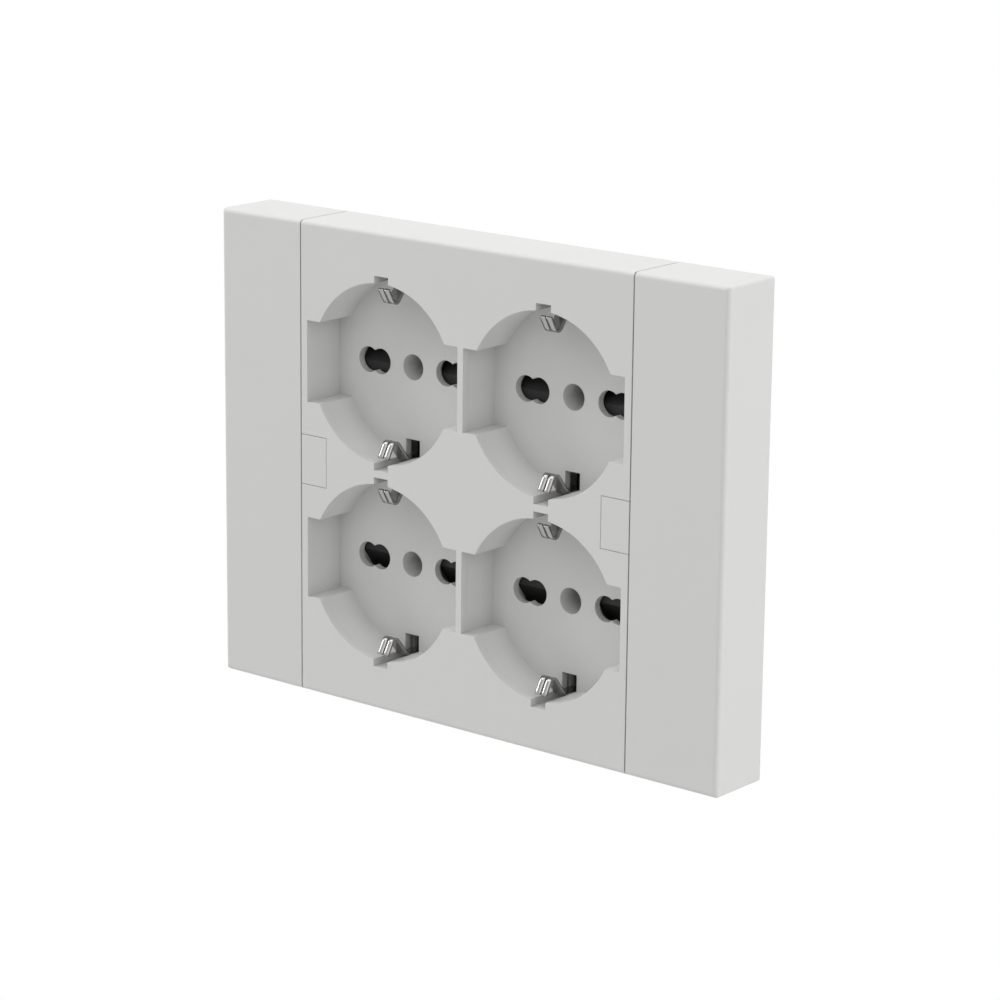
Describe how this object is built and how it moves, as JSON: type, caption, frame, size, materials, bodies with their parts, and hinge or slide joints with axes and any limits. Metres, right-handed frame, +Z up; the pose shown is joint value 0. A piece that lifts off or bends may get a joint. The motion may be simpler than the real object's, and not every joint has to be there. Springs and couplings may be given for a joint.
{
  "type": "quad wall socket",
  "caption": "Wall socket block with round earthed wells in a square grid, pin shutters, earth clips, blank side covers and a contact tray for a flush wall box.",
  "frame": {"origin": "midway between the two wall screws, on the wall plane", "axes": "+X along the block to the right, +Y into the wall, +Z up"},
  "size_m": [0.14, 0.04, 0.108],
  "materials": {
    "white_plastic": "fine matte",
    "grey_plastic": "matte",
    "black_plastic": "satin",
    "brass": "stamped",
    "nickel": "nickel plated",
    "spring_steel": "drawn wire",
    "zinc_steel": "zinc plated"
  },
  "bodies": {
    "block": {"fascia": "white_plastic", "side_cover_left": "white_plastic", "side_cover_right": "white_plastic", "screw_cap_left": "white_plastic", "screw_cap_right": "white_plastic", "base": "grey_plastic", "guide_plate": "grey_plastic", "line_busbar": "brass", "neutral_busbar": "brass", "earth_busbar": "brass", "line_terminal": "brass", "neutral_terminal": "brass", "earth_terminal": "brass", "terminal_screws": "zinc_steel", "assembly_screws": "zinc_steel", "socket_body_top_left": "white_plastic", "line_contact_top_left": "brass", "neutral_contact_top_left": "brass", "earth_contact_top_left": "nickel", "shutter_springs_top_left": "spring_steel", "socket_body_top_right": "white_plastic", "line_contact_top_right": "brass", "neutral_contact_top_right": "brass", "earth_contact_top_right": "nickel", "shutter_springs_top_right": "spring_steel", "socket_body_bottom_left": "white_plastic", "line_contact_bottom_left": "brass", "neutral_contact_bottom_left": "brass", "earth_contact_bottom_left": "nickel", "shutter_springs_bottom_left": "spring_steel", "socket_body_bottom_right": "white_plastic", "line_contact_bottom_right": "brass", "neutral_contact_bottom_right": "brass", "earth_contact_bottom_right": "nickel", "shutter_springs_bottom_right": "spring_steel"},
    "shutter_top_left": {"shutter_top_left": "black_plastic"},
    "shutter_top_right": {"shutter_top_right": "black_plastic"},
    "shutter_bottom_left": {"shutter_bottom_left": "black_plastic"},
    "shutter_bottom_right": {"shutter_bottom_right": "black_plastic"}
  },
  "joints": [
    {"name": "shutter_slide_top_left", "type": "slide", "parent": "block", "child": "shutter_top_left", "axis": [0, 0, -1], "range_m": [0, 0.0082], "stiffness_N_per_m": 120, "springref_m": -0.004, "deforming": ["shutter_springs_top_left"]},
    {"name": "shutter_slide_top_right", "type": "slide", "parent": "block", "child": "shutter_top_right", "axis": [0, 0, -1], "range_m": [0, 0.0082], "stiffness_N_per_m": 120, "springref_m": -0.004, "deforming": ["shutter_springs_top_right"]},
    {"name": "shutter_slide_bottom_left", "type": "slide", "parent": "block", "child": "shutter_bottom_left", "axis": [0, 0, 1], "range_m": [0, 0.0082], "stiffness_N_per_m": 120, "springref_m": -0.004, "deforming": ["shutter_springs_bottom_left"]},
    {"name": "shutter_slide_bottom_right", "type": "slide", "parent": "block", "child": "shutter_bottom_right", "axis": [0, 0, 1], "range_m": [0, 0.0082], "stiffness_N_per_m": 120, "springref_m": -0.004, "deforming": ["shutter_springs_bottom_right"]}
  ]
}
